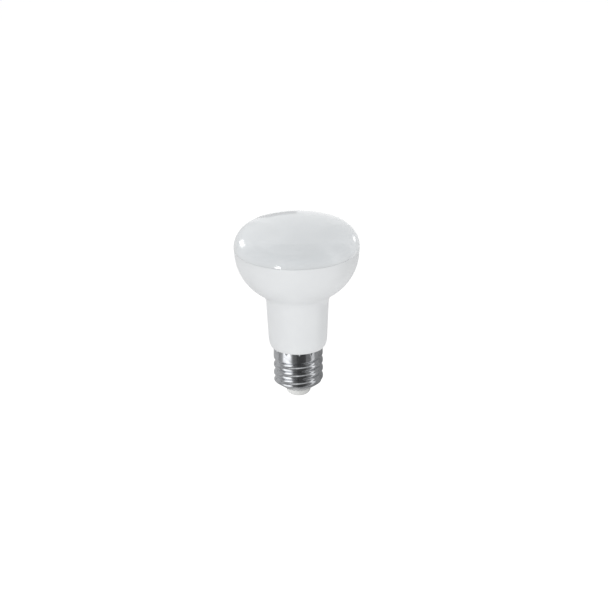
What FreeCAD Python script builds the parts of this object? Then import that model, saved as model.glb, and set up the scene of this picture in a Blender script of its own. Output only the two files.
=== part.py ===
import FreeCAD, Part
import math
import os

# Reflector LED lamp on an intermediate screw cap, in millimetres.
# The foot of the centre contact is at z = 0 and the lamp's axis runs along +Z, up to the dome.

V = FreeCAD.Vector
AXIS = V(0, 0, 1)

# Screw cap, by the standard for the 17 mm intermediate size
BAND_D = 16.6
THREAD_MAJOR_D = 16.64
THREAD_MINOR_D = 15.27
THREADS_PER_INCH = 9
SHEET = 0.25
GROOVE_TURNS = 3.25
GROOVE_Z = 13.9
GROOVE_RUN_OUT = 150.0
GROOVE_FULL_TO = -60.0
CREST_LAND = 0.25
STAKES = 12
STAKE_TURN = 1.5
STAKE_DROP = 0.65
STAKE_D = 0.8
STAKE_DEPTH = 0.35

# Heights from the foot of the centre contact
INSULATOR_FOOT_Z = 0.3
ROUND_Z = 2.7
SHELL_END_Z = 2.95
SHELL_LIP_Z = 3.09
SHELL_CONE_Z = 5.6
PLUG_Z = 6.6
CREST_TOP_Z = 14.7
BAND_Z = 15.25
RIM_Z = 17.63
SHOULDER_Z = 21.7
NECK_Z = 35.3
FLARE_Z = 52.05
SEAM_Z = 52.62
WIDEST_Z = 52.99
TOP_Z = 63.0

# Diameters and radii of the body
HEAD_D = 42.12
LIP_PROUD = 0.18
RIM_D = 16.96
SHOULDER_D = 19.74
NECK_D = 21.14
FLARE_R = 17.0
NECK_FILLET_R = 2.6
KNUCKLE_R = 7.55
SPIGOT_D = 38.6
SPIGOT_DEPTH = 2.2

# Cap end
SHELL_HOLE_D = 8.4
SHELL_END_D = 9.3
SHELL_LIP_D = 9.6
SHELL_CORNER_R = 1.3
INSULATOR_FOOT_D = 3.8
CONTACT_D = 3.5
CONTACT_FLAT_D = 2.2
CONTACT_RIM = 0.18
SHANK_D = 1.6
SHANK_TOP_Z = 5.0

# Fits
CAP_CLEARANCE = 0.05
SPIGOT_CLEARANCE = 0.05
HOLE_CLEARANCE = 0.05
SHANK_CLEARANCE = 0.02

# Worked out from the above
PITCH = 25.4 / THREADS_PER_INCH
CREST_R = THREAD_MAJOR_D / 2
ROOT_R = THREAD_MINOR_D / 2
THREAD_H = CREST_R - ROOT_R
ROLL_R = (PITCH ** 2 / 4 + THREAD_H ** 2) / (4 * THREAD_H)
BORE_R = ROOT_R - SHEET
HEAD_R = HEAD_D / 2
HOUSING_R = HEAD_R - LIP_PROUD


def point(r, z):
    """A point of a turned outline, in the plane of x and z."""
    return V(r, 0, z)


def line(a, b):
    return Part.makeLine(a, b)


def lines(points):
    """Straight edges through the points in turn."""
    return [line(a, b) for a, b in zip(points, points[1:])]


def arc(centre, radius, start, end):
    """An arc of a turned outline between two angles in degrees from +x, passing through the middle one."""
    def at(angle):
        turn = math.radians(angle)
        return centre + point(radius * math.cos(turn), radius * math.sin(turn))
    return Part.Arc(at(start), at((start + end) / 2), at(end)).toShape()


def quarter_ellipse(centre, across, up, start, end):
    """Part of an ellipse whose half axes are across and up, between two angles in degrees."""
    if across > up:
        shape = Part.Ellipse(centre + point(across, 0), centre + point(0, up), centre)
        shift = 0.0
    else:
        shape = Part.Ellipse(centre + point(0, up), centre + point(-across, 0), centre)
        shift = -90.0
    first, last = math.radians(start + shift), math.radians(end + shift)
    return Part.ArcOfEllipse(shape, first, last).toShape()


def turned(edges):
    """A solid of revolution about the lamp's axis from a closed outline."""
    return Part.Face(Part.Wire(Part.__sortEdges__(edges))).revolve(V(0, 0, 0), AXIS, 360)


def end_of(edge, last=True):
    """The first or last vertex of an edge by height."""
    ordered = sorted((v.Point for v in edge.Vertexes), key=lambda p: p.z)
    return ordered[-1] if last else ordered[0]


def neck_corner():
    """Centre and contact angles of the fillet where the neck's taper meets the flare's round.

    The fillet lies outside both: its centre is one radius from the taper and outside the flare's circle.
    """
    run, rise = (NECK_D - SHOULDER_D) / 2, NECK_Z - SHOULDER_Z
    lean = math.atan2(run, rise)
    flare = point(HOUSING_R - FLARE_R, FLARE_Z)
    reach = FLARE_R + NECK_FILLET_R
    offset = point(SHOULDER_D / 2, SHOULDER_Z) + point(math.cos(lean), -math.sin(lean)) * NECK_FILLET_R
    along = point(math.sin(lean), math.cos(lean))
    gap = offset - flare
    half = gap.dot(along)
    step = -half - math.sqrt(half ** 2 - gap.dot(gap) + reach ** 2)
    centre = offset + along * step
    toward = centre - flare
    return centre, 180 - math.degrees(lean), math.degrees(math.atan2(toward.z, toward.x)), flare


def housing():
    """Flare, neck, shoulder and the plug that carries the cap, moulded in one piece."""
    corner, neck_angle, flare_angle, flare = neck_corner()
    shoulder = quarter_ellipse(
        point(RIM_D / 2, SHOULDER_Z), (SHOULDER_D - RIM_D) / 2, SHOULDER_Z - RIM_Z, 270, 360
    )
    fillet = arc(corner, NECK_FILLET_R, neck_angle, 180 + flare_angle)
    bowl = arc(flare, FLARE_R, flare_angle, 0)
    plug_r = BORE_R - CAP_CLEARANCE
    neck_foot = point(SHOULDER_D / 2, SHOULDER_Z)
    edges = lines([
        point(0, SEAM_Z - SPIGOT_DEPTH),
        point(0, PLUG_Z),
        point(plug_r, PLUG_Z),
        point(plug_r, RIM_Z),
        point(RIM_D / 2, RIM_Z),
    ])
    edges += [shoulder, line(neck_foot, end_of(fillet, False)), fillet, bowl]
    edges += lines([
        point(HOUSING_R, FLARE_Z),
        point(HOUSING_R, SEAM_Z),
        point(SPIGOT_D / 2 + SPIGOT_CLEARANCE, SEAM_Z),
        point(SPIGOT_D / 2 + SPIGOT_CLEARANCE, SEAM_Z - SPIGOT_DEPTH),
        point(0, SEAM_Z - SPIGOT_DEPTH),
    ])
    return turned(edges)


def diffuser():
    """Milky dome with a knuckle round into a shallow crown, and a spigot seated in the housing."""
    height = TOP_Z - WIDEST_Z
    inset = HEAD_R - KNUCKLE_R
    crown_r = (inset ** 2 + height ** 2 - KNUCKLE_R ** 2) / (2 * (height - KNUCKLE_R))
    meet = math.degrees(math.atan2(crown_r - height, inset))
    knuckle = arc(point(inset, WIDEST_Z), KNUCKLE_R, 0, meet)
    crown = arc(point(0, TOP_Z - crown_r), crown_r, meet, 90)
    edges = lines([
        point(0, TOP_Z),
        point(0, SEAM_Z - SPIGOT_DEPTH),
        point(SPIGOT_D / 2, SEAM_Z - SPIGOT_DEPTH),
        point(SPIGOT_D / 2, SEAM_Z),
        point(HEAD_R - LIP_PROUD / 2, SEAM_Z),
        point(HEAD_R, SEAM_Z + LIP_PROUD),
        point(HEAD_R, WIDEST_Z),
    ])
    return turned(edges + [knuckle, crown])


def groove_section():
    """The thread's groove across one pitch: a root round between two crest rounds, closed outside the cap."""
    quarter = PITCH / 4
    land = CREST_LAND
    slope = land / math.sqrt(ROLL_R ** 2 - land ** 2)
    crest_end = CREST_R - ROLL_R + math.sqrt(ROLL_R ** 2 - land ** 2)
    middle = (CREST_R + ROOT_R) / 2
    lip_s = PITCH / 2 - land / 5
    lip_r = crest_end + slope * (land - land / 5)
    mid_s = (quarter + PITCH / 2 - land) / 2
    mid_r = CREST_R - ROLL_R + math.sqrt(ROLL_R ** 2 - (PITCH / 2 - mid_s) ** 2)
    outside = CREST_R + 3 * SHEET
    root = Part.Arc(point(middle, -quarter), point(ROOT_R, 0), point(middle, quarter)).toShape()
    edges = [root]
    for side in (-1, 1):
        crest = Part.Arc(
            point(middle, side * quarter), point(mid_r, side * mid_s), point(crest_end, side * (PITCH / 2 - land))
        )
        edges.append(crest.toShape())
        edges += lines([
            point(crest_end, side * (PITCH / 2 - land)),
            point(lip_r, side * lip_s),
            point(outside, side * lip_s),
        ])
    edges.append(line(point(outside, -lip_s), point(outside, lip_s)))
    return Part.Wire(Part.__sortEdges__(edges))


def groove(turns):
    """The groove section swept up a right-hand helix that starts at x > 0, y = 0, z = 0."""
    sweep = Part.BRepOffsetAPI.MakePipeShell(Part.Wire(Part.makeHelix(PITCH, PITCH * turns, CREST_R).Edges))
    sweep.setFrenetMode(True)
    sweep.add(groove_section(), False, False)
    sweep.build()
    sweep.makeSolid()
    return Part.Solid(sweep.shape())


def placed_groove(turns, end_angle):
    """A groove whose last section stands at end_angle, on the helix that passes GROOVE_Z at x > 0, y = 0."""
    cutter = groove(turns)
    cutter.rotate(V(0, 0, 0), AXIS, end_angle - 360 * turns)
    cutter.translate(AXIS * (GROOVE_Z + PITCH * (end_angle / 360 - turns)))
    return cutter


def run_out():
    """The top end of the groove, which rises out of the sheet over half a turn."""
    margin = 0.03
    shift = (THREAD_H + 2 * margin) / 2
    end_angle = GROOVE_FULL_TO + GROOVE_RUN_OUT
    turn = math.radians(end_angle)
    centre = V(shift * math.cos(turn), shift * math.sin(turn), GROOVE_Z - 2 * PITCH)
    kept = Part.makeCylinder(ROOT_R - margin + shift, 4 * PITCH, centre)
    return placed_groove(GROOVE_RUN_OUT / 360, end_angle).cut(kept)


def stake(number):
    """A cone-shaped punch mark that locks the cap to the housing, near the shell's upper edge."""
    turn = math.radians(STAKE_TURN + number * 360 / STAKES)
    outward = V(math.cos(turn), math.sin(turn), 0)
    slope = STAKE_D / 2 / STAKE_DEPTH
    reach = 2 * STAKE_DEPTH
    tip = outward * (CREST_R - STAKE_DEPTH) + AXIS * (RIM_Z - STAKE_DROP)
    return Part.makeCone(0, slope * reach, reach, tip, outward)


def screw_shell():
    """Thin plated shell with a rolled right-hand thread, a plain band above it and a turned-in end."""
    half_lean = math.degrees(math.atan2(SHELL_CONE_Z - SHELL_LIP_Z, CREST_R - SHELL_LIP_D / 2)) / 2
    setback = SHELL_CORNER_R * math.tan(math.radians(45 - half_lean))
    corner_z = SHELL_CONE_Z + setback
    corner = arc(point(CREST_R - SHELL_CORNER_R, corner_z), SHELL_CORNER_R, 2 * half_lean - 90, 0)
    inner_foot_z = SHELL_END_Z + 2 * SHEET
    edges = lines([
        point(CREST_R, corner_z),
        point(CREST_R, CREST_TOP_Z),
        point(BAND_D / 2, BAND_Z),
        point(BAND_D / 2, RIM_Z),
        point(BORE_R, RIM_Z),
        point(BORE_R, SHELL_CONE_Z),
        point(SHELL_HOLE_D / 2, inner_foot_z),
        point(SHELL_HOLE_D / 2, SHELL_END_Z),
        point(SHELL_END_D / 2, SHELL_END_Z),
        point(SHELL_LIP_D / 2, SHELL_LIP_Z),
        end_of(corner, False),
    ])
    shell = turned(edges + [corner])
    shell = shell.cut(placed_groove(GROOVE_TURNS, GROOVE_FULL_TO))
    shell = shell.cut(run_out())
    return shell.cut(Part.makeCompound([stake(number) for number in range(STAKES)]))


def insulator():
    """White plug that closes the shell's end, rounded at its foot, with the bore of the contact's shank."""
    neck_r = SHELL_HOLE_D / 2 - HOLE_CLEARANCE
    foot = quarter_ellipse(
        point(INSULATOR_FOOT_D / 2, ROUND_Z), neck_r - INSULATOR_FOOT_D / 2, ROUND_Z - INSULATOR_FOOT_Z, 270, 360
    )
    bore_r = SHANK_D / 2 + SHANK_CLEARANCE
    edges = lines([
        point(neck_r, ROUND_Z),
        point(neck_r, SHELL_END_Z + 2 * SHEET),
        point(SHELL_HOLE_D / 2, SHELL_END_Z + 2 * SHEET),
        point(BORE_R, SHELL_CONE_Z),
        point(BORE_R, PLUG_Z),
        point(0, PLUG_Z),
        point(0, SHANK_TOP_Z),
        point(bore_r, SHANK_TOP_Z),
        point(bore_r, INSULATOR_FOOT_Z),
        point(INSULATOR_FOOT_D / 2, INSULATOR_FOOT_Z),
    ])
    return turned(edges + [foot])


def contact():
    """Centre contact: a domed nail head seated on the insulator's foot, with its shank pressed in."""
    head_r, flat_r = CONTACT_D / 2, CONTACT_FLAT_D / 2
    dome = quarter_ellipse(point(flat_r, CONTACT_RIM), head_r - flat_r, CONTACT_RIM, 270, 360)
    edges = lines([
        point(head_r, CONTACT_RIM),
        point(head_r, INSULATOR_FOOT_Z),
        point(SHANK_D / 2, INSULATOR_FOOT_Z),
        point(SHANK_D / 2, SHANK_TOP_Z),
        point(0, SHANK_TOP_Z),
        point(0, 0),
        point(flat_r, 0),
    ])
    return turned(edges + [dome])


PIECES = {
    "diffuser": diffuser,
    "housing": housing,
    "screw_shell": screw_shell,
    "insulator": insulator,
    "centre_contact": contact,
}

os.makedirs("parts", exist_ok=True)
for node, make in PIECES.items():
    make().exportStep("parts/" + node + ".step")
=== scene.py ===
"""Looks of a reflector LED lamp: a milky dome, a white moulded body and a plated screw cap.

Lengths in the classes are in millimetres. Meshes are made in metres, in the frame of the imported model: the foot of the
centre contact is at the origin, the lamp's axis runs up +Z and the photograph is taken from -Y.
"""
import logging
import math
from dataclasses import dataclass, field
from enum import Enum
from functools import cache
from typing import Iterable, Sequence

import bpy
from mathutils import Matrix, Vector


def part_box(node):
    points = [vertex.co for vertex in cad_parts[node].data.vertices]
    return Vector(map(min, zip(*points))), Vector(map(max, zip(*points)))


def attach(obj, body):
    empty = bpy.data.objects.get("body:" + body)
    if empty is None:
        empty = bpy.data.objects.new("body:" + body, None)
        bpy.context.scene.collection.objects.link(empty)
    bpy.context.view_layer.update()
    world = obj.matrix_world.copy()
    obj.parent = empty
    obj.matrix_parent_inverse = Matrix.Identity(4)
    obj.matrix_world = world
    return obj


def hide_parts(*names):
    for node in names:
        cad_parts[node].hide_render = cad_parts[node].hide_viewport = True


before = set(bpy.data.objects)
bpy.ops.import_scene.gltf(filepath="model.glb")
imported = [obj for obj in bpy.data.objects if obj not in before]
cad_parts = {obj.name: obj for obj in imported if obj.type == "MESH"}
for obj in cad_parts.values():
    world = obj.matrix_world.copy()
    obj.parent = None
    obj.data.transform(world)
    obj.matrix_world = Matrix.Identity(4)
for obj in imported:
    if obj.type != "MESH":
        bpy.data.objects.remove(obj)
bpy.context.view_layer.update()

LOG = logging.getLogger("reflector_lamp")
MM = 0.001
WHITE = "#FFFFFF"
Point = tuple[float, float]
Place = tuple[float, float, float]
# A radius below the first is on the axis, and points nearer than the second are one point, in millimetres.
ON_AXIS = 1e-6
SAME_POINT = 0.001
# The name of the vertex values that say how much of a card's light each point gives.
LIGHT = "light"
# Numbers of the colour sockets of a Mix node, whose names are shared with its other kinds.
MIX_A, MIX_B, MIX_RESULT = 6, 7, 2


class KeptFor(Enum):
    """The CAD nodes whose pieces alone get a card's or a light's light, none being named where all of them do."""

    ALL = ()
    DOME = ("diffuser",)
    BODY = ("housing",)
    METAL = ("screw_shell", "centre_contact")
    PLUG = ("insulator",)


def linear(code: str) -> tuple[float, float, float, float]:
    """Turns an sRGB hex colour into linear light.

    Args:
        code: Six hex digits with a leading #.

    Returns:
        Red, green, blue and an alpha of one.
    """
    parts = [int(code[i:i + 2], 16) / 255 for i in (1, 3, 5)]
    red, green, blue = (p / 12.92 if p <= 0.04045 else ((p + 0.055) / 1.055) ** 2.4 for p in parts)
    return red, green, blue, 1.0


def add_node(
    tree: bpy.types.NodeTree, kind: str, inputs: dict[str | int, object] | None = None, **settings: object
) -> bpy.types.Node:
    """Adds one shader node, sets it up and links it.

    Args:
        tree: The node tree that takes the node.
        kind: The node's type, such as ShaderNodeBump.
        inputs: Values or output sockets for the node's inputs, by name or number.
        settings: The node's own properties.

    Returns:
        The new node.
    """
    node = tree.nodes.new(kind)
    for name, value in settings.items():
        setattr(node, name, value)
    for name, value in (inputs or {}).items():
        if isinstance(value, bpy.types.NodeSocket):
            tree.links.new(value, node.inputs[name])
        else:
            node.inputs[name].default_value = value
    return node


def new_material(name: str) -> tuple[bpy.types.Material, bpy.types.NodeTree]:
    """Makes an empty node material.

    Args:
        name: The material's name.

    Returns:
        The material and its cleared node tree.
    """
    material = bpy.data.materials.new(name)
    material.use_nodes = True
    material.node_tree.nodes.clear()
    return material, material.node_tree


def per_metre(size_mm: float) -> float:
    """Gives the noise scale, in features per metre, that draws features of a size in millimetres."""
    return 1.0 / (size_mm * MM)


@dataclass(frozen=True)
class Finish:
    """What all finishes share: a name and the way from a shader's values to a material."""

    name: str

    def surface(self, tree: bpy.types.NodeTree) -> dict[str | int, object]:
        """Adds the finish's patterns, and gives the shader's values and links by socket."""
        raise NotImplementedError

    def build(self) -> bpy.types.Material:
        """Makes the material.

        Returns:
            The finished material.
        """
        material, tree = new_material(self.name)
        shader = add_node(tree, "ShaderNodeBsdfPrincipled", self.surface(tree))
        add_node(tree, "ShaderNodeOutputMaterial", {"Surface": shader.outputs["BSDF"]})
        return material


@dataclass(frozen=True)
class OpalDome(Finish):
    """Opal polycarbonate, injection moulded in a polished mould.

    The eye gets a soft, deep white under a clear gloss, with a faint cloudiness and a ripple that bends reflections.
    """

    name: str = "opal_polycarbonate_polished_mould"
    colour: str = "#DDE0E2"
    pale_colour: str = "#E1E4E6"
    roughness: float = 0.09
    ior: float = 1.585
    glow_mm: float = 2.5
    glow: float = 0.55
    cloud_mm: float = 14.0
    cloud_detail: float = 3.0
    ripple_mm: float = 2.2
    ripple_detail: float = 1.0
    ripple_height_mm: float = 0.004
    ripple_strength: float = 1.0

    def surface(self, tree: bpy.types.NodeTree) -> dict[str | int, object]:
        """Adds the dome's clouds and ripple.

        Args:
            tree: The material's node tree.

        Returns:
            The shader's values and links by socket.
        """
        place = add_node(tree, "ShaderNodeTexCoord").outputs["Object"]
        cloud = add_node(
            tree, "ShaderNodeTexNoise",
            {"Vector": place, "Scale": per_metre(self.cloud_mm), "Detail": self.cloud_detail},
        )
        tint = add_node(
            tree, "ShaderNodeMix",
            {"Factor": cloud.outputs["Fac"], MIX_A: linear(self.colour), MIX_B: linear(self.pale_colour)},
            data_type="RGBA",
        )
        ripple = add_node(
            tree, "ShaderNodeTexNoise",
            {"Vector": place, "Scale": per_metre(self.ripple_mm), "Detail": self.ripple_detail},
        )
        bump = add_node(
            tree, "ShaderNodeBump",
            {
                "Height": ripple.outputs["Fac"], "Distance": self.ripple_height_mm * MM,
                "Strength": self.ripple_strength,
            },
        )
        return {
            "Base Color": tint.outputs[MIX_RESULT], "Roughness": self.roughness, "IOR": self.ior,
            "Subsurface Weight": self.glow, "Subsurface Radius": (1.0, 1.0, 1.0),
            "Subsurface Scale": self.glow_mm * MM, "Normal": bump.outputs["Normal"],
        }


@dataclass(frozen=True)
class MouldedBody(Finish):
    """White PBT, injection moulded with a fine spark-eroded texture.

    The eye gets an even satin white with a faint grain and broad, soft highlights.
    """

    name: str = "white_pbt_satin_moulding"
    colour: str = "#E6E8EA"
    pale_colour: str = "#ECEEEF"
    roughness: float = 0.38
    ior: float = 1.55
    cloud_mm: float = 9.0
    cloud_detail: float = 2.0
    # The real texture is about 0.05 mm. It is drawn four times as coarse so that it shows.
    grain_mm: float = 0.2
    grain_detail: float = 2.0
    grain_height_mm: float = 0.006
    grain_strength: float = 0.6

    def surface(self, tree: bpy.types.NodeTree) -> dict[str | int, object]:
        """Adds the body's clouds and grain.

        Args:
            tree: The material's node tree.

        Returns:
            The shader's values and links by socket.
        """
        place = add_node(tree, "ShaderNodeTexCoord").outputs["Object"]
        cloud = add_node(
            tree, "ShaderNodeTexNoise",
            {"Vector": place, "Scale": per_metre(self.cloud_mm), "Detail": self.cloud_detail},
        )
        tint = add_node(
            tree, "ShaderNodeMix",
            {"Factor": cloud.outputs["Fac"], MIX_A: linear(self.colour), MIX_B: linear(self.pale_colour)},
            data_type="RGBA",
        )
        grain = add_node(
            tree, "ShaderNodeTexNoise",
            {"Vector": place, "Scale": per_metre(self.grain_mm), "Detail": self.grain_detail},
        )
        bump = add_node(
            tree, "ShaderNodeBump",
            {
                "Height": grain.outputs["Fac"], "Distance": self.grain_height_mm * MM,
                "Strength": self.grain_strength,
            },
        )
        return {
            "Base Color": tint.outputs[MIX_RESULT], "Roughness": self.roughness, "IOR": self.ior,
            "Normal": bump.outputs["Normal"],
        }


@dataclass(frozen=True)
class RolledNickel(Finish):
    """Nickel-plated brass sheet, drawn to a cup and thread-rolled.

    The eye gets a bright, neutral mirror with faint rings around the axis and small cloudy patches.
    """

    name: str = "nickel_plated_brass_rolled"
    colour: str = "#D2D4D7"
    dull_colour: str = "#B6B8BB"
    roughness: float = 0.13
    dull_roughness: float = 0.24
    cloud_mm: float = 1.6
    cloud_detail: float = 4.0
    cloud_roughness: float = 0.6
    # Between these values of the clouds the colour, and then the roughness, goes from bright to dull.
    tint_range: Point = (0.42, 0.72)
    sheen_range: Point = (0.3, 0.75)
    # Drawing rings are about 0.02 mm apart. They are drawn at 0.12 mm so that they show.
    ring_mm: float = 0.12
    ring_detail: float = 2.0
    ring_height_mm: float = 0.0015
    ring_strength: float = 1.0

    def surface(self, tree: bpy.types.NodeTree) -> dict[str | int, object]:
        """Adds the sheet's clouds and rings.

        Args:
            tree: The material's node tree.

        Returns:
            The shader's values and links by socket.
        """
        place = add_node(tree, "ShaderNodeTexCoord").outputs["Object"]
        height = add_node(tree, "ShaderNodeSeparateXYZ", {0: place}).outputs["Z"]
        cloud = add_node(
            tree, "ShaderNodeTexNoise",
            {
                "Vector": place, "Scale": per_metre(self.cloud_mm), "Detail": self.cloud_detail,
                "Roughness": self.cloud_roughness,
            },
        )
        dulled = add_node(
            tree, "ShaderNodeMapRange",
            {
                "Value": cloud.outputs["Fac"], "From Min": self.tint_range[0], "From Max": self.tint_range[1],
                "To Min": 0.0, "To Max": 1.0,
            },
        )
        tint = add_node(
            tree, "ShaderNodeMix",
            {"Factor": dulled.outputs["Result"], MIX_A: linear(self.colour), MIX_B: linear(self.dull_colour)},
            data_type="RGBA",
        )
        sheen = add_node(
            tree, "ShaderNodeMapRange",
            {
                "Value": cloud.outputs["Fac"], "From Min": self.sheen_range[0], "From Max": self.sheen_range[1],
                "To Min": self.roughness, "To Max": self.dull_roughness,
            },
        )
        rings = add_node(
            tree, "ShaderNodeTexNoise",
            {"W": height, "Scale": per_metre(self.ring_mm), "Detail": self.ring_detail}, noise_dimensions="1D",
        )
        bump = add_node(
            tree, "ShaderNodeBump",
            {"Height": rings.outputs["Fac"], "Distance": self.ring_height_mm * MM, "Strength": self.ring_strength},
        )
        return {
            "Base Color": tint.outputs[MIX_RESULT], "Metallic": 1.0, "Roughness": sheen.outputs["Result"],
            "Normal": bump.outputs["Normal"],
        }


@dataclass(frozen=True)
class MouldedPlug(Finish):
    """White glass-filled nylon, moulded.

    The eye gets a dull, slightly grey white with a soft sheen at the rounded foot.
    """

    name: str = "white_filled_nylon_moulding"
    colour: str = "#CDCECD"
    speck_colour: str = "#D8D8D6"
    roughness: float = 0.45
    ior: float = 1.53
    grain_mm: float = 0.35
    grain_detail: float = 2.0
    grain_height_mm: float = 0.01
    grain_strength: float = 0.5

    def surface(self, tree: bpy.types.NodeTree) -> dict[str | int, object]:
        """Adds the plug's specks and grain.

        Args:
            tree: The material's node tree.

        Returns:
            The shader's values and links by socket.
        """
        place = add_node(tree, "ShaderNodeTexCoord").outputs["Object"]
        grain = add_node(
            tree, "ShaderNodeTexNoise",
            {"Vector": place, "Scale": per_metre(self.grain_mm), "Detail": self.grain_detail},
        )
        tint = add_node(
            tree, "ShaderNodeMix",
            {"Factor": grain.outputs["Fac"], MIX_A: linear(self.colour), MIX_B: linear(self.speck_colour)},
            data_type="RGBA",
        )
        bump = add_node(
            tree, "ShaderNodeBump",
            {
                "Height": grain.outputs["Fac"], "Distance": self.grain_height_mm * MM,
                "Strength": self.grain_strength,
            },
        )
        return {
            "Base Color": tint.outputs[MIX_RESULT], "Roughness": self.roughness, "IOR": self.ior,
            "Normal": bump.outputs["Normal"],
        }


@dataclass
class Outline:
    """Half of a turned section, as points of radius and height."""

    points: list[Point] = field(default_factory=list)

    def to(self, radius: float, height: float) -> "Outline":
        """Runs straight to a point, and returns itself."""
        self.points.append((radius, height))
        return self

    def ellipse(self, centre: Point, across: float, up: float, start: float, end: float, steps: int) -> "Outline":
        """Runs along part of an ellipse.

        Args:
            centre: Radius and height of the centre.
            across: Half axis along the radius.
            up: Half axis along the height.
            start: First angle in degrees, from the radius's direction.
            end: Last angle in degrees.
            steps: Number of straight steps.

        Returns:
            The outline itself.
        """
        for i in range(steps + 1):
            angle = math.radians(start + (end - start) * i / steps)
            self.points.append((centre[0] + across * math.cos(angle), centre[1] + up * math.sin(angle)))
        return self

    def arc(self, centre: Point, radius: float, start: float, end: float, steps: int) -> "Outline":
        """Runs along part of a circle, and returns itself."""
        return self.ellipse(centre, radius, radius, start, end, steps)


def turned(name: str, outline: Outline, segments: int, sharp_degrees: float) -> bpy.types.Object:
    """Turns a half section around the lamp's axis into a closed mesh.

    Args:
        name: The object's name.
        outline: The section, which starts and ends on the axis.
        segments: Steps around the axis.
        sharp_degrees: Edges with more than this angle between their faces look sharp.

    Returns:
        The new object.
    """
    rows: list[list[int]] = []
    vertices: list[Place] = []
    for radius, height in without_repeats(outline.points):
        first = len(vertices)
        if radius < ON_AXIS:
            vertices.append((0.0, 0.0, height * MM))
            rows.append([first] * segments)
            continue
        for i in range(segments):
            turn = 2 * math.pi * i / segments
            vertices.append((radius * math.cos(turn) * MM, radius * math.sin(turn) * MM, height * MM))
        rows.append(list(range(first, first + segments)))
    faces: list[list[int]] = []
    for low, high in zip(rows, rows[1:]):
        for i in range(segments):
            j = (i + 1) % segments
            corners = [low[i], low[j], high[j], high[i]]
            face = [v for k, v in enumerate(corners) if v != corners[k - 1]]
            if len(face) > 2:
                faces.append(face)
    return smooth_object(name, vertices, faces, sharp_degrees)


def without_repeats(points: Iterable[Point]) -> list[Point]:
    """Drops points that repeat the one before them.

    Args:
        points: Points of radius and height.

    Returns:
        The points that differ from the one before by over a micrometre.
    """
    kept: list[Point] = []
    for point in points:
        if not kept or math.dist(point, kept[-1]) > SAME_POINT:
            kept.append(point)
    return kept


def smooth_object(
    name: str, vertices: Sequence[Place], faces: Sequence[Sequence[int]], sharp_degrees: float
) -> bpy.types.Object:
    """Makes a smooth-shaded object with sharp edges where its faces meet at an angle.

    Args:
        name: The object's name.
        vertices: Places in metres.
        faces: Vertex numbers of each face.
        sharp_degrees: Edges with more than this angle between their faces look sharp.

    Returns:
        The new object, linked to the scene.
    """
    mesh = bpy.data.meshes.new(name)
    mesh.from_pydata(vertices, [], faces)
    mesh.validate()
    mesh.shade_smooth()
    mesh.set_sharp_from_angle(angle=math.radians(sharp_degrees))
    made = bpy.data.objects.new(name, mesh)
    bpy.context.scene.collection.objects.link(made)
    return made


@cache
def top_of(node: str) -> float:
    """Gives the height of a CAD node's top in millimetres."""
    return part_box(node)[1].z / MM


@cache
def foot_of(node: str) -> float:
    """Gives the height of a CAD node's foot in millimetres."""
    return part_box(node)[0].z / MM


@cache
def radius_of(node: str) -> float:
    """Gives the largest radius of a CAD node in millimetres."""
    low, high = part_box(node)
    return (high.x - low.x) / 2 / MM


@dataclass
class Piece:
    """What all pieces of the lamp share: a CAD node to stand for and a material slot."""

    node: str
    slot: str
    segments: int
    sharp_degrees: float = 30.0

    def outline(self) -> Outline:
        """Gives the piece's turned section."""
        raise NotImplementedError

    def mesh(self) -> bpy.types.Object:
        """Builds the piece's shape, turned from its outline."""
        return turned(self.node + "_look", self.outline(), self.segments, self.sharp_degrees)

    def material(self) -> bpy.types.Material:
        """Gives the piece's finish."""
        raise NotImplementedError

    def build(self) -> bpy.types.Object:
        """Returns:
            The finished object.
        """
        made = self.mesh()
        made.data.materials.append(self.material())
        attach(made, "root")
        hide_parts(self.node)
        LOG.info("%s: %d vertices, %d faces", made.name, len(made.data.vertices), len(made.data.polygons))
        return made


@dataclass
class Diffuser(Piece):
    """The milky dome, with a knuckle round into a shallow crown and a spigot in the housing."""

    node: str = "diffuser"
    slot: str = "diffuser"
    segments: int = 256
    knuckle_r: float = 7.55
    widest_above_seam: float = 0.37
    lip_proud: float = 0.18
    lip_round: float = 0.16
    lip_start: float = -80.0
    spigot_r: float = 19.3

    def outline(self) -> Outline:
        """Gives the dome's section, from the spigot's underside to the crown.

        Returns:
            The section.
        """
        radius, top, seam = radius_of(self.node), top_of(self.node), top_of("housing")
        widest = seam + self.widest_above_seam
        height, inset = top - widest, radius - self.knuckle_r
        crown_r = (inset ** 2 + height ** 2 - self.knuckle_r ** 2) / (2 * (height - self.knuckle_r))
        meet = math.degrees(math.atan2(crown_r - height, inset))
        section = Outline().to(0, foot_of(self.node)).to(self.spigot_r, foot_of(self.node))
        section.to(self.spigot_r, seam).to(radius - self.lip_proud, seam)
        section.arc((radius - self.lip_round, seam + self.lip_round), self.lip_round, self.lip_start, 0, steps=6)
        section.arc((inset, widest), self.knuckle_r, 0, meet, steps=40)
        section.arc((0, top - crown_r), crown_r, meet, 90, steps=40)
        return section

    def material(self) -> bpy.types.Material:
        """Gives the opal polycarbonate."""
        return OpalDome().build()


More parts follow.
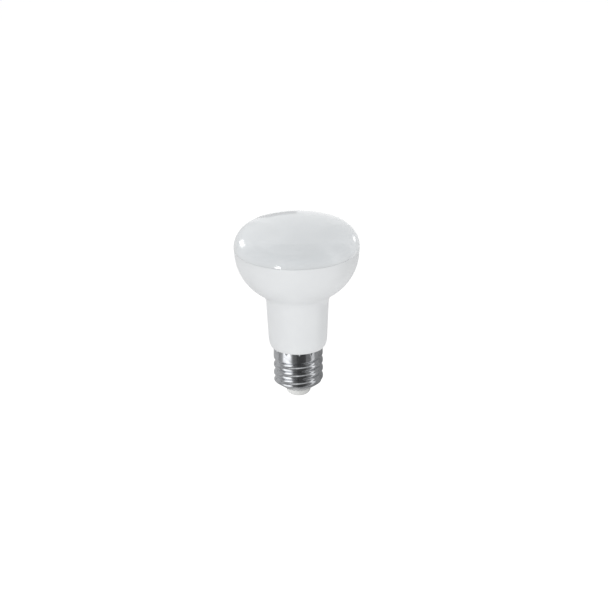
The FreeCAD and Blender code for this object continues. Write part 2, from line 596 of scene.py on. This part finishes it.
@dataclass
class Housing(Piece):
    """The white body: flare, fillet, tapered neck, shoulder and the plug inside the cap."""

    node: str = "housing"
    slot: str = "housing"
    segments: int = 256
    flare_r: float = 17.0
    rim_band: float = 0.57
    neck_fillet_r: float = 5.0
    neck_r: float = 10.57
    neck_z: float = 35.3
    shoulder_r: float = 9.87
    shoulder_rise: float = 4.07
    # The shoulder's round starts at this angle of an ellipse, whose lowest point is this far over the rim.
    shoulder_start: float = 272.0
    shoulder_step: float = 0.02
    rim_r: float = 8.48
    edge_round: float = 0.14
    spigot_r: float = 19.35
    spigot_depth: float = 2.2
    plug_r: float = 7.335

    def fillet(self, flare_centre: Point) -> tuple[Point, float, float]:
        """Finds the fillet between the neck's taper and the flare's round.

        Args:
            flare_centre: Radius and height of the flare round's centre.

        Returns:
            The fillet's centre, the taper's lean and the angle towards the flare's centre, in degrees.
        """
        shoulder_z = top_of("screw_shell") + self.shoulder_rise
        lean = math.atan2(self.neck_r - self.shoulder_r, self.neck_z - shoulder_z)
        along, across = Vector((math.sin(lean), math.cos(lean))), Vector((math.cos(lean), -math.sin(lean)))
        start = Vector((self.shoulder_r, shoulder_z)) + across * self.neck_fillet_r - Vector(flare_centre)
        half = start.dot(along)
        reach = self.flare_r + self.neck_fillet_r
        step = -half - math.sqrt(half ** 2 - start.dot(start) + reach ** 2)
        inward = start + along * step
        centre = inward + Vector(flare_centre)
        return (centre.x, centre.y), math.degrees(lean), math.degrees(math.atan2(inward.y, inward.x))

    def outline(self) -> Outline:
        """Gives the body's section, from the plug's underside over the neck to the diffuser's seat.

        Returns:
            The section.
        """
        radius, seam, rim = radius_of(self.node), top_of(self.node), top_of("screw_shell")
        flare_centre = (radius - self.flare_r, seam - self.rim_band)
        centre, lean, turn = self.fillet(flare_centre)
        across, up = self.shoulder_r - self.rim_r, self.shoulder_rise - self.shoulder_step
        section = Outline().to(0, foot_of(self.node)).to(self.plug_r, foot_of(self.node)).to(self.plug_r, rim)
        section.to(self.rim_r - self.edge_round, rim)
        section.ellipse((self.rim_r, rim + self.shoulder_rise), across, up, self.shoulder_start, 360, steps=28)
        section.arc(centre, self.neck_fillet_r, 180 - lean, 180 + turn, steps=12)
        section.arc(flare_centre, self.flare_r, turn, 0, steps=48)
        section.arc((radius - self.edge_round, seam - self.edge_round), self.edge_round, 0, 90, steps=4)
        section.to(self.spigot_r, seam).to(self.spigot_r, seam - self.spigot_depth)
        section.to(0, seam - self.spigot_depth)
        return section

    def material(self) -> bpy.types.Material:
        """Gives the satin PBT."""
        return MouldedBody().build()


@dataclass
class ScrewShell(Piece):
    """The plated shell: turned-in end, rolled right-hand thread, plain band and punch marks."""

    node: str = "screw_shell"
    slot: str = "cap_metal"
    segments: int = 384
    sharp_degrees: float = 50.0
    pitch: float = 25.4 / 9
    root_r: float = 7.635
    bore_r: float = 7.385
    band_r: float = 8.3
    # The groove's height at turn nought. It is full up to one angle from there, and runs out over another.
    groove_z: float = 13.9
    full_to: float = -60.0
    run_out: float = 150.0
    hole_r: float = 4.2
    end_r: float = 4.65
    lip_r: float = 4.8
    lip_rise: float = 0.14
    cone_rise: float = 2.65
    end_sheet: float = 0.5
    # How far the turned-in end's corner is rounded, and the small rise that brings it back to the crests.
    cone_blend: float = 0.25
    cone_lift: float = 0.004
    # How softly the thread runs into the end, and the height over which the crests fall to the band.
    thread_blend: float = 0.12
    band_fall: float = 0.6
    stakes: int = 12
    stake_turn: float = 1.5
    stake_half_width: float = 0.42
    stake_height: float = 1.0
    stake_depth: float = 0.3
    # How much a mark narrows with its depth, and how bluntly it ends.
    stake_flank: float = 0.8
    stake_bluntness: float = 0.7
    # Heights of the mesh's rows: close ones over the foot and under the top, and even ones between.
    foot_rows: tuple[float, ...] = (0.0, 0.04, 0.12)
    even_from: float = 0.2
    even_to: float = 0.1
    even_step: float = 0.11
    top_rows: tuple[float, ...] = (0.03, 0.0)

    def base_radius(self, height: float) -> float:
        """Gives the shell's outer radius without its thread.

        Args:
            height: Height in millimetres.

        Returns:
            The turned-in end's or the crests' radius there.
        """
        foot, crest = foot_of(self.node), radius_of(self.node)
        lip_z, cone_z = foot + self.lip_rise, foot + self.cone_rise
        if height <= lip_z:
            return self.end_r + (self.lip_r - self.end_r) * (height - foot) / self.lip_rise
        cone = self.lip_r + (crest - self.lip_r) * (height - lip_z) / (cone_z - lip_z)
        gap = cone - crest
        rounded = crest + (gap - math.hypot(gap, self.cone_blend)) / 2 + self.cone_lift
        return min(rounded, crest)

    def thread_radius(self, turn: float, height: float) -> float:
        """Gives the radius of the rolled thread.

        Args:
            turn: Angle around the axis in degrees.
            height: Height in millimetres.

        Returns:
            The radius of the nearest groove or of the crests between them.
        """
        crest = radius_of(self.node)
        depth = crest - self.root_r
        roll = (self.pitch ** 2 / 4 + depth ** 2) / (4 * depth)
        along = 360 * (height - self.groove_z) / self.pitch
        number = round((along - turn) / 360)
        angle = turn + 360 * number
        off = abs(height - self.groove_z - self.pitch * angle / 360)
        if off < self.pitch / 4:
            wave = self.root_r + roll - math.sqrt(roll ** 2 - off ** 2)
        else:
            wave = crest - roll + math.sqrt(roll ** 2 - (self.pitch / 2 - off) ** 2)
        done = min(1.0, max(0.0, (angle - self.full_to) / self.run_out))
        return crest - (crest - wave) * (1 + math.cos(math.pi * done)) / 2

    def stake_dent(self, turn: float, height: float) -> float:
        """Gives how deep a punch mark goes in.

        Args:
            turn: Angle around the axis in degrees.
            height: Height in millimetres.

        Returns:
            The depth in millimetres, nought away from the marks.
        """
        spacing = 360 / self.stakes
        near = (turn - self.stake_turn + spacing / 2) % spacing - spacing / 2
        sideways = math.radians(abs(near)) * self.band_r / self.stake_half_width
        below = (top_of(self.node) - height) / self.stake_height
        return self.stake_depth * max(0.0, 1 - below - sideways * self.stake_flank) ** self.stake_bluntness

    def outer_radius(self, turn: float, height: float) -> float:
        """Gives the shell's outer radius, thread and marks included.

        Args:
            turn: Angle around the axis in degrees.
            height: Height in millimetres.

        Returns:
            The radius in millimetres.
        """
        base, thread = self.base_radius(height), self.thread_radius(turn, height)
        joined = (base + thread - math.hypot(base - thread, self.thread_blend)) / 2 + self.thread_blend / 4
        fallen = min(1.0, max(0.0, (height - self.groove_z - self.pitch / 2) / self.band_fall))
        band = (radius_of(self.node) - self.band_r) * fallen
        return min(base, thread, joined) - band - self.stake_dent(turn, height)

    def heights(self) -> list[float]:
        """Gives the heights of the mesh's rows.

        Returns:
            Heights in millimetres from the foot to the top.
        """
        foot, top = foot_of(self.node), top_of(self.node)
        first, last = foot + self.even_from, top - self.even_to
        count = math.ceil((last - first) / self.even_step)
        even = [first + (last - first) * i / count for i in range(count + 1)]
        return [foot + rise for rise in self.foot_rows] + even + [top - drop for drop in self.top_rows]

    def mesh(self) -> bpy.types.Object:
        """Builds the shell from rows of points around the axis, outside and in.

        Returns:
            The shell's object.
        """
        foot, top, heights = foot_of(self.node), top_of(self.node), self.heights()
        turns = [360 * i / self.segments for i in range(self.segments)]
        vertices = [self.place(self.outer_radius(turn, height), turn, height) for height in heights for turn in turns]
        inner = [
            (self.bore_r, top), (self.bore_r, foot + self.cone_rise),
            (self.hole_r, foot + self.end_sheet), (self.hole_r, foot),
        ]
        vertices += [self.place(radius, turn, height) for radius, height in inner for turn in turns]
        count = len(heights) + len(inner)
        faces = []
        for row in range(count):
            low, high = row * self.segments, (row + 1) % count * self.segments
            for i in range(self.segments):
                j = (i + 1) % self.segments
                faces.append((low + i, low + j, high + j, high + i))
        return smooth_object(self.node + "_look", vertices, faces, self.sharp_degrees)

    @staticmethod
    def place(radius: float, turn: float, height: float) -> Place:
        """Gives a point in metres from its radius, turn in degrees and height."""
        angle = math.radians(turn)
        return radius * math.cos(angle) * MM, radius * math.sin(angle) * MM, height * MM

    def material(self) -> bpy.types.Material:
        """Gives the nickel-plated sheet."""
        return RolledNickel().build()


@dataclass
class Insulator(Piece):
    """The white plug in the shell's end, rounded at its foot."""

    node: str = "insulator"
    slot: str = "insulator"
    segments: int = 128
    neck_r: float = 4.15
    foot_r: float = 1.9
    round_z: float = 2.7
    hole_r: float = 4.2
    end_sheet: float = 0.5
    cone_r: float = 7.385
    cone_rise: float = 2.65
    bore_r: float = 0.82
    bore_top: float = 5.0

    def outline(self) -> Outline:
        """Gives the plug's section, from the shank's bore round the foot to the top.

        Returns:
            The section.
        """
        foot, end = foot_of(self.node), foot_of("screw_shell")
        section = Outline().to(0, self.bore_top).to(self.bore_r, self.bore_top).to(self.bore_r, foot)
        across, up = self.neck_r - self.foot_r, self.round_z - foot
        section.ellipse((self.foot_r, self.round_z), across, up, 270, 360, steps=28)
        section.to(self.neck_r, end + self.end_sheet).to(self.hole_r, end + self.end_sheet)
        section.to(self.cone_r, end + self.cone_rise)
        section.to(self.cone_r, top_of(self.node)).to(0, top_of(self.node))
        return section

    def material(self) -> bpy.types.Material:
        """Gives the filled nylon."""
        return MouldedPlug().build()


@dataclass
class CentreContact(Piece):
    """The plated nail head under the insulator, with its shank."""

    node: str = "centre_contact"
    slot: str = "contact_metal"
    segments: int = 96
    head_r: float = 1.75
    flat_r: float = 1.1
    head_height: float = 0.3
    edge: float = 0.18
    shank_r: float = 0.8

    def outline(self) -> Outline:
        """Gives the contact's section, from its flat round the head and up the shank.

        Returns:
            The section.
        """
        section = Outline().to(0, 0)
        section.ellipse((self.flat_r, self.edge), self.head_r - self.flat_r, self.edge, 270, 360, steps=12)
        section.to(self.head_r, self.head_height).to(self.shank_r, self.head_height)
        section.to(self.shank_r, top_of(self.node)).to(0, top_of(self.node))
        return section

    def material(self) -> bpy.types.Material:
        """Gives the nickel plating, duller than the shell's."""
        return RolledNickel(name="nickel_plated_brass_headed", roughness=0.22, dull_roughness=0.34).build()


def lit_pieces(name: str, kept: KeptFor, pieces: dict[str, bpy.types.Object]) -> bpy.types.Collection:
    """Makes the collection of pieces that alone are lit by a card or a light.

    Args:
        name: The card's or light's name.
        kept: The pieces that it is kept for.
        pieces: The lamp's finished pieces by node.

    Returns:
        The new collection, which isn't linked to the scene.
    """
    collection = bpy.data.collections.new(name + "_pieces")
    for node in kept.value:
        collection.objects.link(pieces[node])
    return collection


@dataclass(frozen=True)
class Card:
    """A studio card bent to a patch of a sphere around the lamp, seen only in reflections.

    Azimuth 0 is the camera's side, and positive azimuths turn to the camera's right. Angles are in degrees. A card
    that is kept for some pieces only adds its light to what stands behind it, and the other pieces see through it.
    Its light may fade out over some degrees at its edges.
    """

    name: str
    azimuths: Point
    elevations: Point
    distance: float
    strength: float
    kept: KeptFor = KeptFor.ALL
    fade: float = 0.0
    step: float = 2.5

    def build(self, aim: Vector, pieces: dict[str, bpy.types.Object]) -> bpy.types.Object:
        """Makes the card.

        Args:
            aim: The centre of the sphere in metres.
            pieces: The lamp's finished pieces by node.

        Returns:
            The card.
        """
        mesh = self.mesh(aim)
        mesh.materials.append(self.material())
        card = bpy.data.objects.new(self.name, mesh)
        bpy.context.scene.collection.objects.link(card)
        if self.kept is not KeptFor.ALL:
            card.light_linking.receiver_collection = lit_pieces(self.name, self.kept, pieces)
        card.visible_camera = False
        card.visible_diffuse = False
        card.visible_transmission = False
        card.visible_volume_scatter = False
        card.visible_shadow = False
        return card

    def mesh(self, aim: Vector) -> bpy.types.Mesh:
        """Makes the patch of the sphere, and notes each point's light where the card fades.

        Args:
            aim: The centre of the sphere in metres.

        Returns:
            The new mesh.
        """
        across = math.ceil((self.azimuths[1] - self.azimuths[0]) / self.step)
        up = math.ceil((self.elevations[1] - self.elevations[0]) / self.step)
        vertices, light = [], []
        for row in range(up + 1):
            elevation = self.elevations[0] + (self.elevations[1] - self.elevations[0]) * row / up
            for column in range(across + 1):
                azimuth = self.azimuths[0] + (self.azimuths[1] - self.azimuths[0]) * column / across
                vertices.append(aim + toward(azimuth, elevation) * self.distance * MM)
                light.append(self.level(azimuth, self.azimuths) * self.level(elevation, self.elevations))
        faces = []
        for row in range(up):
            for column in range(across):
                corner = row * (across + 1) + column
                faces.append((corner, corner + 1, corner + across + 2, corner + across + 1))
        mesh = bpy.data.meshes.new(self.name)
        mesh.from_pydata(vertices, [], faces)
        if self.fade:
            mesh.attributes.new(LIGHT, "FLOAT", "POINT").data.foreach_set("value", light)
        return mesh

    def level(self, angle: float, limits: Point) -> float:
        """Gives the card's light at an angle between two limits, one inside and falling to nought at them.

        Args:
            angle: Azimuth or elevation in degrees.
            limits: The card's lowest and highest azimuth or elevation.

        Returns:
            A number from nought to one.
        """
        if not self.fade:
            return 1.0
        part = min(1.0, (angle - limits[0]) / self.fade, (limits[1] - angle) / self.fade)
        return part * part * (3 - 2 * part)

    def material(self) -> bpy.types.Material:
        """Makes the card's self-lit material, see-through where the card is kept for some pieces.

        Returns:
            The new material.
        """
        material, tree = new_material(self.name + "_tone")
        strength: float | bpy.types.NodeSocket = self.strength
        if self.fade:
            level = add_node(tree, "ShaderNodeAttribute", attribute_name=LIGHT)
            faded = add_node(tree, "ShaderNodeMath", {0: level.outputs["Fac"], 1: strength}, operation="MULTIPLY")
            strength = faded.outputs[0]
        shader = add_node(tree, "ShaderNodeEmission", {"Color": linear(WHITE), "Strength": strength})
        if self.kept is not KeptFor.ALL:
            clear = add_node(tree, "ShaderNodeBsdfTransparent")
            shader = add_node(tree, "ShaderNodeAddShader", {0: clear.outputs[0], 1: shader.outputs[0]})
        add_node(tree, "ShaderNodeOutputMaterial", {"Surface": shader.outputs[0]})
        return material


@dataclass(frozen=True)
class Softbox:
    """An area light that faces the lamp, unseen in reflections."""

    name: str
    azimuth: float
    elevation: float
    distance: float
    width: float
    height: float
    watts: float
    kept: KeptFor = KeptFor.ALL

    def build(self, aim: Vector, pieces: dict[str, bpy.types.Object]) -> bpy.types.Object:
        """Makes the light.

        Args:
            aim: The point in metres that the light faces.
            pieces: The lamp's finished pieces by node.

        Returns:
            The light's object.
        """
        data = bpy.data.lights.new(self.name, "AREA")
        data.shape = "RECTANGLE"
        data.size, data.size_y = self.width * MM, self.height * MM
        data.energy = self.watts
        light = bpy.data.objects.new(self.name, data)
        bpy.context.scene.collection.objects.link(light)
        light.matrix_world = facing(self.azimuth, self.elevation, self.distance * MM, aim)
        light.visible_glossy = False
        if self.kept is not KeptFor.ALL:
            light.light_linking.receiver_collection = lit_pieces(self.name, self.kept, pieces)
        return light


def toward(azimuth: float, elevation: float) -> Vector:
    """Gives the direction at an azimuth and elevation in degrees, 0 being the camera's side."""
    turn, rise = math.radians(azimuth), math.radians(elevation)
    return Vector((math.sin(turn) * math.cos(rise), -math.cos(turn) * math.cos(rise), math.sin(rise)))


def facing(azimuth: float, elevation: float, distance: float, aim: Vector) -> Matrix:
    """Places something at an angle around a point so that its -Z looks at the point.

    Args:
        azimuth: Degrees from the camera's side, positive to its right.
        elevation: Degrees above the horizon.
        distance: Metres from the point.
        aim: The point in metres.

    Returns:
        The world matrix.
    """
    away = toward(azimuth, elevation)
    spin = (-away).to_track_quat("-Z", "Y").to_matrix().to_4x4()
    return Matrix.Translation(aim + away * distance) @ spin


@dataclass
class Studio:
    """Floor, sky, lights, cards and the camera."""

    floor_z: float = -420.0
    floor_size: float = 6000.0
    floor_colour: str = "#F4F4F4"
    floor_lift: float = 0.45
    sky_colour: str = WHITE
    sky_light: float = 0.60
    sky_shown: float = 1.0
    camera_elevation: float = 21.49
    camera_distance: float = 1200.0
    camera_roll: float = 0.78
    # The lens and the frame in the photograph's pixels. The point at aim_z stands at aim_px in the picture.
    focal_px: float = 3583.0
    frame_px: float = 608.0
    sensor: float = 36.0
    clip: Point = (0.01, 20.0)
    aim_z: float = 33.3
    aim_px: Point = (297.52, 301.82)
    # Kept cards that overlap have distances of their own, because two at one distance hide each other.
    cards: tuple[Card, ...] = (
        Card("rear_floor_flat_right", (90, 180), (-88, -52), 330, 0.3),
        Card("rear_floor_flat_left", (-180, -90), (-88, -52), 330, 0.5),
        Card("rear_low_flat", (165, 192), (-52, -18), 330, 0.42),
        Card("ceiling_flat_left", (-75, -35), (56, 88), 330, 0.62),
        Card("ceiling_flat_front", (-35, -5), (50, 88), 330, 0.75),
        Card("ceiling_flat_right", (-5, 75), (50, 88), 330, 0.5),
        Card("ceiling_flat_rear", (75, 285), (68, 88), 330, 0.6),
        Card("left_rear_wall", (-168, -104), (-52, 50), 325, 0.55),
        Card("left_wall", (-104, -75), (-88, 50), 325, 0.42),
        Card("left_strip_back", (-75, -39), (-88, 50), 325, 0.3),
        Card("front_left_flat", (-39, -26), (-88, 50), 325, 0.26),
        Card("front_flat_1", (-26, -8), (-88, 50), 325, 0.15),
        Card("front_flat_2", (-8, 36), (-88, 50), 325, 0.07),
        Card("front_right_flat", (36, 63), (-88, 50), 325, 0.22),
        Card("right_strip_back", (63, 80), (-88, 50), 325, 0.85),
        Card("right_wall", (80, 112), (-88, 50), 325, 0.34),
        Card("right_rear_wall", (112, 165), (-52, 50), 325, 0.28),
        Card("rear_horizon_flat", (-180, -172), (-2, 12), 300, 0.5),
        Card("left_strip_box", (-80, -28), (-62, 12), 315, 1.35, KeptFor.METAL, 12.0),
        Card("right_strip_box", (64, 82), (0, 50), 315, 0.7, KeptFor.METAL, 4.0),
        Card("ceiling_strip", (-60, 30), (54, 88), 303, 0.2, KeptFor.METAL, 8.0),
        Card("left_body_lift", (-168, -104), (-34, 50), 321, 0.45, KeptFor.BODY),
        Card("right_body_lift", (112, 165), (-52, 50), 321, 0.72, KeptFor.BODY),
        Card("left_dome_lift", (-168, -104), (-34, 50), 318, 0.18, KeptFor.DOME),
        Card("right_dome_lift", (112, 165), (-52, 50), 318, 0.55, KeptFor.DOME),
        Card("left_gloss", (-180, -90), (4, 74), 312, 0.4, KeptFor.DOME, 22.0),
        Card("left_low_gloss", (-139, -67), (-35, 55), 309, 0.15, KeptFor.DOME, 26.0),
        Card("right_gloss", (46, 148), (-36, 68), 306, 0.35, KeptFor.DOME, 30.0),
        Card("left_rear_box", (-137, -114), (7, 26), 300, 3.6, KeptFor.DOME, 5.0),
        Card("right_rear_strip", (133, 146), (3, 14), 300, 3.4, KeptFor.DOME, 4.0),
        Card("seam_box", (-39, -27), (-19, -4), 300, 9.5, KeptFor.DOME, 2.0),
    )
    lights: tuple[Softbox, ...] = (
        Softbox("front_fill", -8, 2, 1000, 800, 700, 3.9),
        Softbox("rear_fill", 180, 50, 1000, 900, 500, 3.0),
        Softbox("foot_fill", -75, -15, 500, 200, 200, 0.9, KeptFor.PLUG),
        Softbox("left_dome_fill", -114, 19, 1000, 400, 400, 1.95, KeptFor.DOME),
        Softbox("right_dome_fill", 108, 8, 1000, 400, 400, 2.0, KeptFor.DOME),
    )

    def build(self, pieces: dict[str, bpy.types.Object]) -> None:
        """Sets up the whole studio.

        Args:
            pieces: The lamp's finished pieces by node.
        """
        aim = Vector((0, 0, self.aim_z * MM))
        for card in self.cards:
            card.build(aim, pieces)
            LOG.info("card %s", card.name)
        for light in self.lights:
            light.build(aim, pieces)
            LOG.info("light %s", light.name)
        self.floor()
        self.sky()
        self.camera(aim)
        bpy.context.scene.view_settings.view_transform = "Standard"

    def floor(self) -> bpy.types.Object:
        """Makes the pale floor, lifted to white where it is seen.

        Returns:
            The floor.
        """
        half, height = self.floor_size * MM / 2, self.floor_z * MM
        mesh = bpy.data.meshes.new("floor")
        mesh.from_pydata(
            [(-half, -half, height), (half, -half, height), (half, half, height), (-half, half, height)],
            [], [(0, 1, 2, 3)],
        )
        floor = bpy.data.objects.new("floor", mesh)
        bpy.context.scene.collection.objects.link(floor)
        material, tree = new_material("white_floor_paper")
        paper = add_node(tree, "ShaderNodeBsdfDiffuse", {"Color": linear(self.floor_colour)})
        lift = add_node(tree, "ShaderNodeEmission", {"Color": linear(WHITE), "Strength": self.floor_lift})
        lifted = add_node(tree, "ShaderNodeAddShader", {0: paper.outputs[0], 1: lift.outputs[0]})
        mixed = add_node(
            tree, "ShaderNodeMixShader", {0: self.seen_directly(tree), 1: paper.outputs[0], 2: lifted.outputs[0]}
        )
        add_node(tree, "ShaderNodeOutputMaterial", {"Surface": mixed.outputs[0]})
        mesh.materials.append(material)
        return floor

    def sky(self) -> None:
        """Lights the lamp evenly from all around, and shows white to the camera and in reflections."""
        world = bpy.data.worlds.new("studio_white")
        bpy.context.scene.world = world
        world.use_nodes = True
        tree = world.node_tree
        tree.nodes.clear()
        lighting = add_node(
            tree, "ShaderNodeBackground", {"Color": linear(self.sky_colour), "Strength": self.sky_light}
        )
        shown = add_node(
            tree, "ShaderNodeBackground", {"Color": linear(self.sky_colour), "Strength": self.sky_shown}
        )
        mixed = add_node(
            tree, "ShaderNodeMixShader", {0: self.seen_directly(tree), 1: lighting.outputs[0], 2: shown.outputs[0]}
        )
        add_node(tree, "ShaderNodeOutputWorld", {"Surface": mixed.outputs[0]})

    @staticmethod
    def seen_directly(tree: bpy.types.NodeTree) -> bpy.types.NodeSocket:
        """Gives one for camera, glossy and transmission rays, and nought for others.

        Args:
            tree: The node tree of a material or of the world.

        Returns:
            The socket with that value.
        """
        path = add_node(tree, "ShaderNodeLightPath")
        both = add_node(
            tree, "ShaderNodeMath",
            {0: path.outputs["Is Camera Ray"], 1: path.outputs["Is Glossy Ray"]}, operation="MAXIMUM",
        )
        total = add_node(
            tree, "ShaderNodeMath", {0: both.outputs[0], 1: path.outputs["Is Transmission Ray"]}, operation="MAXIMUM"
        )
        return total.outputs[0]

    def camera(self, aim: Vector) -> None:
        """Makes the camera at the photograph's angle, roll and scale.

        Args:
            aim: The point in metres that stands at aim_px in the picture.
        """
        data = bpy.data.cameras.new("photo_camera")
        data.sensor_width = self.sensor
        data.lens = self.focal_px * self.sensor / self.frame_px
        data.clip_start, data.clip_end = self.clip
        camera = bpy.data.objects.new("photo_camera", data)
        bpy.context.scene.collection.objects.link(camera)
        place = facing(0, self.camera_elevation, self.camera_distance * MM, aim)
        scale = self.camera_distance * MM / self.focal_px
        right, up = place.col[0].to_3d(), place.col[1].to_3d()
        centre = self.frame_px / 2
        place.translation += right * (centre - self.aim_px[0]) * scale - up * (centre - self.aim_px[1]) * scale
        camera.matrix_world = place @ Matrix.Rotation(-math.radians(self.camera_roll), 4, "Z")
        bpy.context.scene.camera = camera


def main() -> None:
    """Builds the lamp's pieces and the studio."""
    logging.basicConfig(level=logging.INFO)
    lamp = (Diffuser(), Housing(), ScrewShell(), Insulator(), CentreContact())
    pieces = {piece.node: piece.build() for piece in lamp}
    Studio().build(pieces)


if __name__ == "__main__":
    main()
